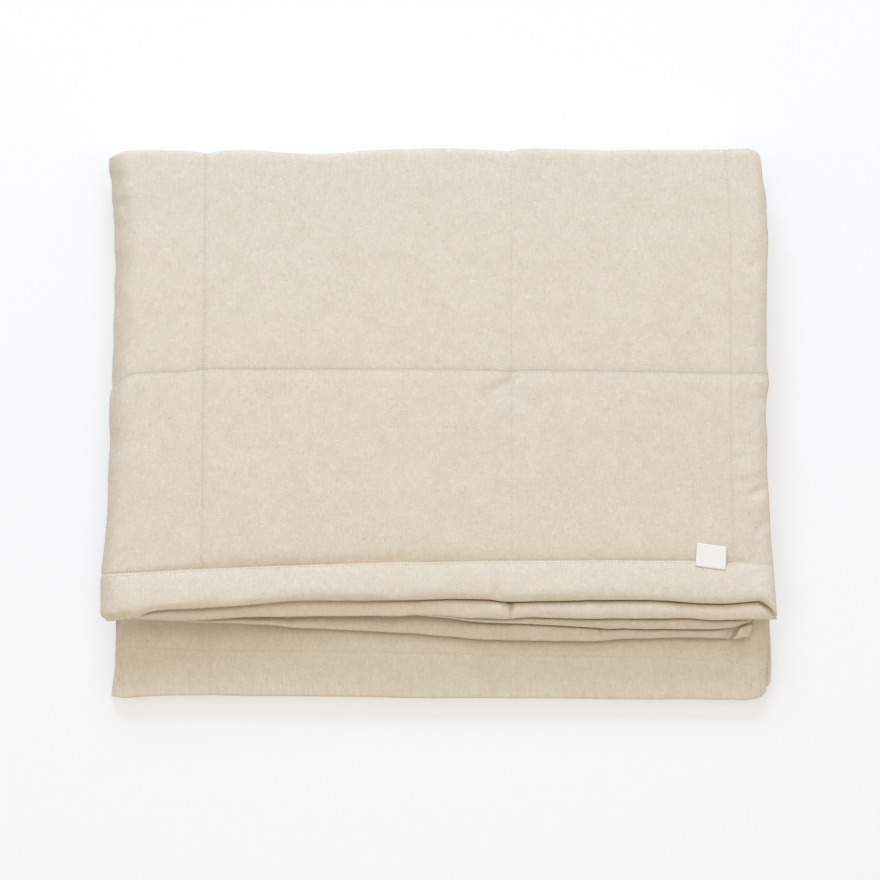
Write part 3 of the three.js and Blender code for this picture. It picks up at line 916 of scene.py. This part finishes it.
# The label: place on the flat cloth, size, turn and points; and its lift: all over, towards its
# back edge with an earlier start, and at its curled corners
LABEL_U, LABEL_V = 73.0, 55.5
LABEL_WIDE, LABEL_DEEP, LABEL_THICK = 35.5, 29.0, 0.6
LABEL_TURN = math.radians(4.5)
LABEL_COLUMNS, LABEL_ROWS = 19, 15
LABEL_LIFT, BACK_LIFT, BACK_SOONER, CURL, CURL_POWER = 0.5, 0.9, 0.4, 0.8, 3
wide, deep = np.meshgrid(np.linspace(-0.5, 0.5, LABEL_COLUMNS), np.linspace(-0.5, 0.5, LABEL_ROWS))
wide_mm, deep_mm = wide * LABEL_WIDE, deep * LABEL_DEEP
label_u = LABEL_U + wide_mm * math.cos(LABEL_TURN) - deep_mm * math.sin(LABEL_TURN)
label_v = LABEL_V + wide_mm * math.sin(LABEL_TURN) + deep_mm * math.cos(LABEL_TURN)
curl = CURL * np.abs(2 * wide) ** CURL_POWER * ease(deep + 0.5)
label_on = on_top(label_u, label_v, LABEL_LIFT + BACK_LIFT * ease(2 * deep + BACK_SOONER) + curl)
span = (deep + 0.5)[..., None]
label_low = np.maximum(label_on, label_on[:1] * (1 - span) + label_on[-1:] * span)
label_low[..., :2] = label_on[..., :2]
label_high = label_low + np.array((0, 0, LABEL_THICK))
index = np.arange(wide.size).reshape(wide.shape)
label_faces = grid_faces(*wide.shape, wide.size, False) + grid_faces(*wide.shape, 0, True)
for border in (index[0], index[:, -1], index[-1, ::-1], index[::-1, 0]):
    label_faces += [(a, a + wide.size, b + wide.size, b) for a, b in zip(border, border[1:])]
label_points = np.concatenate((label_low.reshape(-1, 3), label_high.reshape(-1, 3)))
label = new_object("label_tape", label_points * MM, label_faces)
set_uv(label, np.tile(np.stack((wide_mm, deep_mm), -1).reshape(-1, 2), (2, 1)))

# What the materials share
SPECULAR = 0.2


def fill(tree, node, inputs):
    """Set a node's inputs to values, or link them to outputs of other nodes."""
    for name, value in inputs.items():
        if isinstance(value, bpy.types.NodeSocket):
            tree.links.new(value, node.inputs[name])
        else:
            node.inputs[name].default_value = value


def new_node(tree, kind, output, inputs, **settings):
    """An output of a new node."""
    node = tree.nodes.new("ShaderNode" + kind)
    for name, value in settings.items():
        setattr(node, name, value)
    fill(tree, node, inputs)
    return node.outputs[output]


def principled(name, colour, roughness):
    """A new material with its nodes and its shader."""
    material = bpy.data.materials.new(name)
    material.use_nodes = True
    tree = material.node_tree
    shader = tree.nodes["Principled BSDF"]
    look = {"Base Color": (*colour, 1), "Roughness": roughness, "Specular IOR Level": SPECULAR}
    fill(tree, shader, look)
    return material, tree, shader


def flat_uv(tree):
    """Places on the flat cloth, in metres."""
    return new_node(tree, "UVMap", "UV", {}, uv_map="flat")


def noise(tree, size, detail, seed):
    """Noise on the flat cloth with features of a size in millimetres across and along."""
    scale, start = (1000 / size[0], 1000 / size[1], 1), (seed, seed * 0.37, 0)
    place = {"Vector": flat_uv(tree), "Scale": scale, "Location": start}
    vector = new_node(tree, "Mapping", "Vector", place)
    return new_node(tree, "TexNoise", "Fac", {"Vector": vector, "Scale": 1.0, "Detail": detail})


def scaled(tree, value, low, high, to_low, to_high):
    """A value's range brought to another one, level beyond its ends."""
    ends = {"From Min": low, "From Max": high, "To Min": to_low, "To Max": to_high}
    return new_node(tree, "MapRange", "Result", {"Value": value, **ends})


def worked_out(tree, kind, *values):
    """One step of arithmetic on values of the tree's nodes, or on one and a number."""
    return new_node(tree, "Math", 0, dict(enumerate(values)), operation=kind)


def mixed(tree, share, first, second):
    """A mix of two colours, the first of which may be another mix."""
    colours = {"Factor": share, "A": first, "B": second}
    return new_node(tree, "Mix", "Result", colours, data_type="RGBA")


def bump(tree, height, strength, distance):
    """Fine relief in the shading."""
    relief = {"Height": height, "Strength": strength, "Distance": distance}
    return new_node(tree, "Bump", "Normal", relief)


# The linen-look cloth: its colours, the darkest one painted shade at the stitch holes, and its fine
# relief
LINEN = (0.72, 0.64, 0.53)
LINEN_DARK = (0.615, 0.522, 0.418, 1)
LINEN_LIGHT = (0.825, 0.722, 0.606, 1)
HOLE_SHADE = (0.42, 0.35, 0.27, 1)
LINEN_ROUGH = 0.92
LINEN_BUMP = (0.4, 0.5 * MM)

# Its threads, slubs and clouds: size across and along, detail, seed, range of the noise and what
# that is brought to
WEAVE = (
    ((1.5, 11.0), 2, 1.0, 0.3, 0.7, -0.11, 0.11),
    ((11.0, 1.5), 2, 5.0, 0.3, 0.7, -0.09, 0.09),
    ((1.4, 1.4), 2, 9.0, 0.3, 0.7, -0.12, 0.12),
    ((2.2, 8.0), 1, 13.0, 0.62, 0.72, 0.0, -0.28),
    ((8.0, 2.2), 1, 17.0, 0.64, 0.74, 0.0, -0.24),
    ((2.2, 7.0), 1, 21.0, 0.62, 0.72, 0.0, 0.3),
    ((7.0, 2.2), 1, 29.0, 0.64, 0.74, 0.0, 0.3),
    ((5.0, 6.0), 2, 37.0, 0.3, 0.7, -0.07, 0.07),
    ((14.0, 17.0), 2, 33.0, 0.3, 0.7, -0.08, 0.08),
    ((45.0, 45.0), 2, 25.0, 0.3, 0.7, -0.06, 0.06),
)

# The border strip looks a little lighter, and the left line of stitching shades the cloth beside it
BORDER_LIGHTER = 0.1
SEAM_DARKER, SEAM_REACH = 0.2, 7.0

# Stitch holes, sunk in the relief and painted dark as shade: line, strength, start; where they stop
#  and fade out, their half width and reach, and what a wave along the line is brought to
HOLES_SHADE_AND_DIP = ((HEM + 0.4, 0.3, HEM - 3), (282.4, 0.2, -6.0))
HOLES_STOP, HOLES_FADE = 800.0, 6.0
HOLE_HALF, HOLE_REACH = 0.4, 1.6
HOLE_WAVE = (-0.4, 0.9, 0.25, 1)


def stitch_holes_shade_and_dip(tree, u_out, v_out, line, strength, start):
    """Small dips where the thread goes in, along a line of stitching, also painted dark as shade."""
    away = worked_out(tree, "ABSOLUTE", worked_out(tree, "SUBTRACT", v_out, line * MM))
    mask = scaled(tree, away, HOLE_HALF * MM, HOLE_REACH * MM, strength, 0.0)
    turns = worked_out(tree, "MULTIPLY", u_out, 2 * math.pi / (STITCH_PITCH * MM))
    wave = scaled(tree, worked_out(tree, "SINE", turns), *HOLE_WAVE)
    begin = scaled(tree, u_out, start * MM, (start + HOLES_FADE) * MM, 0.0, 1.0)
    finish = scaled(tree, u_out, (HOLES_STOP - HOLES_FADE) * MM, HOLES_STOP * MM, 1.0, 0.0)
    for part in (worked_out(tree, "MULTIPLY", begin, finish), wave):
        mask = worked_out(tree, "MULTIPLY", mask, part)
    return mask


def total_of(tree, values):
    """Sum of values of a tree's nodes."""
    total = values[0]
    for value in values[1:]:
        total = worked_out(tree, "ADD", total, value)
    return total


def linen_material():
    """Woven cloth with slubs, a lighter border, painted shade beside a seam and in stitch holes."""
    material, tree, shader = principled("linen", LINEN, LINEN_ROUGH)
    place = {"Vector": flat_uv(tree)}
    u_out, v_out = (new_node(tree, "SeparateXYZ", axis, place) for axis in "XY")
    weave = [scaled(tree, noise(tree, *look[:3]), *look[3:]) for look in WEAVE]
    holes_shade_and_dip = total_of(tree, [stitch_holes_shade_and_dip(tree, u_out, v_out, *row) for row in HOLES_SHADE_AND_DIP])
    border = scaled(tree, v_out, (HEM - 1) * MM, HEM * MM, BORDER_LIGHTER, 0.0)
    column = SIDE_LINES[2][0]
    into = scaled(tree, u_out, (column - SEAM_REACH) * MM, column * MM, 0.0, -SEAM_DARKER)
    out_of = scaled(tree, u_out, column * MM, (column + 1) * MM, 0.0, SEAM_DARKER)
    past_hem = scaled(tree, v_out, HEM * MM, (HEM + 1) * MM, 0.0, 1.0)
    seam = worked_out(tree, "MULTIPLY", worked_out(tree, "ADD", into, out_of), past_hem)
    total = total_of(tree, [*weave, border, seam])
    colour = mixed(tree, scaled(tree, total, -0.5, 0.5, 0.0, 1.0), LINEN_DARK, LINEN_LIGHT)
    normal = bump(tree, worked_out(tree, "SUBTRACT", total, holes_shade_and_dip), *LINEN_BUMP)
    # The stitch holes darken the colour towards HOLE_SHADE, as painted shade
    fill(tree, shader, {"Base Color": mixed(tree, holes_shade_and_dip, colour, HOLE_SHADE), "Normal": normal})
    return material


# The thread
THREAD, THREAD_ROUGH = (0.9, 0.79, 0.64), 0.7

# The label's tape: colour, roughness, fine relief, and size, detail and seed of its weave
TAPE, TAPE_ROUGH = (0.87, 0.82, 0.795), 0.6
TAPE_BUMP = (0.3, 0.2 * MM)
TAPE_WEAVE = ((0.9, 0.5), 1, 3.0)


def tape_material():
    """Plain woven tape."""
    material, tree, shader = principled("label_white", TAPE, TAPE_ROUGH)
    fill(tree, shader, {"Normal": bump(tree, noise(tree, *TAPE_WEAVE), *TAPE_BUMP)})
    return material


bedspread.data.materials.append(linen_material())
stitching.data.materials.append(principled("thread", THREAD, THREAD_ROUGH)[0])
label.data.materials.append(tape_material())

# The pieces stand in for the model's parts, which are hidden, and hang from the root
for piece, node, slot in ((bedspread, "bedspread", "cloth"), (label, "label", "label_tape")):
    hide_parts(node)
    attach(piece, "root")
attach(stitching, "root")

# The floor: half its size in metres, its colour, and its glow
FLOOR_HALF = 6
FLOOR_COLOUR, FLOOR_ROUGH, FLOOR_GLOW = (0.46, 0.46, 0.46), 0.9, 0.475
floor_corners = [(a * FLOOR_HALF, b * FLOOR_HALF, 0) for a, b in ((-1, -1), (1, -1), (1, 1), (-1, 1))]
floor = new_object("floor", floor_corners, [(0, 1, 2, 3)], smooth=False)
floor_material, tree, shader = principled("floor_pale", FLOOR_COLOUR, FLOOR_ROUGH)
fill(tree, shader, {"Emission Color": (1, 1, 1, 1), "Emission Strength": FLOOR_GLOW})
floor.data.materials.append(floor_material)

# Lights: name, place and size in metres, power, colour; the place they look at; the light all round
LIGHTS = (
    ("overhead_softbox", (-0.1, 0.1, 3.2), (3.5, 3.5), 46.0, (1.0, 1.0, 1.0)),
    ("back_softbox", (-0.35, 4.0, 3.0), (2.7, 2.0), 135.0, (0.76, 1.0, 1.33)),
    ("front_fill", (-0.6, -6.0, 1.3), (6.0, 2.0), 30.0, (1.0, 0.98, 0.97)),
)
LIT_PLACE = (0, 0, 0.05)
AROUND, AROUND_STRENGTH = (1.1, 1.0, 0.8, 1), 0.41


def area_light(name, place, size, power, colour):
    """A soft light that looks at the packet."""
    lamp = bpy.data.lights.new(name, "AREA")
    lamp.shape = "RECTANGLE"
    lamp.size, lamp.size_y = size
    lamp.energy = power
    lamp.color = colour
    obj = bpy.data.objects.new(name, lamp)
    obj.location = place
    obj.rotation_euler = (Vector(LIT_PLACE) - obj.location).to_track_quat("-Z", "Y").to_euler()
    bpy.context.scene.collection.objects.link(obj)


for light in LIGHTS:
    area_light(*light)
world = bpy.data.worlds.new("studio")
world.use_nodes = True
tree = world.node_tree
fill(tree, tree.nodes["Background"], {"Color": AROUND, "Strength": AROUND_STRENGTH})
bpy.context.scene.world = world

# The camera: width that the photograph covers, distance, tilt; and the place it looks at
PIXELS, PIXEL = 880, 1.2
PHOTO_WIDE = PIXELS * PIXEL * MM
DISTANCE = 2.8
TILT = math.radians(5.5)
SENSOR = 36.0
LOOK_FRONT, LOOK_HIGH = 25, 84.0
camera_data = bpy.data.cameras.new("camera")
camera_data.sensor_width = SENSOR
camera_data.lens = SENSOR * DISTANCE / PHOTO_WIDE
camera = bpy.data.objects.new("camera", camera_data)
target = Vector((shift[0] * MM, (shift[1] - LOOK_FRONT) * MM, LOOK_HIGH * MM))
camera.location = target + DISTANCE * Vector((0, -math.sin(TILT), math.cos(TILT)))
camera.rotation_euler = (TILT, 0, 0)
bpy.context.scene.collection.objects.link(camera)
bpy.context.scene.camera = camera
bpy.context.scene.view_settings.view_transform = "Standard"
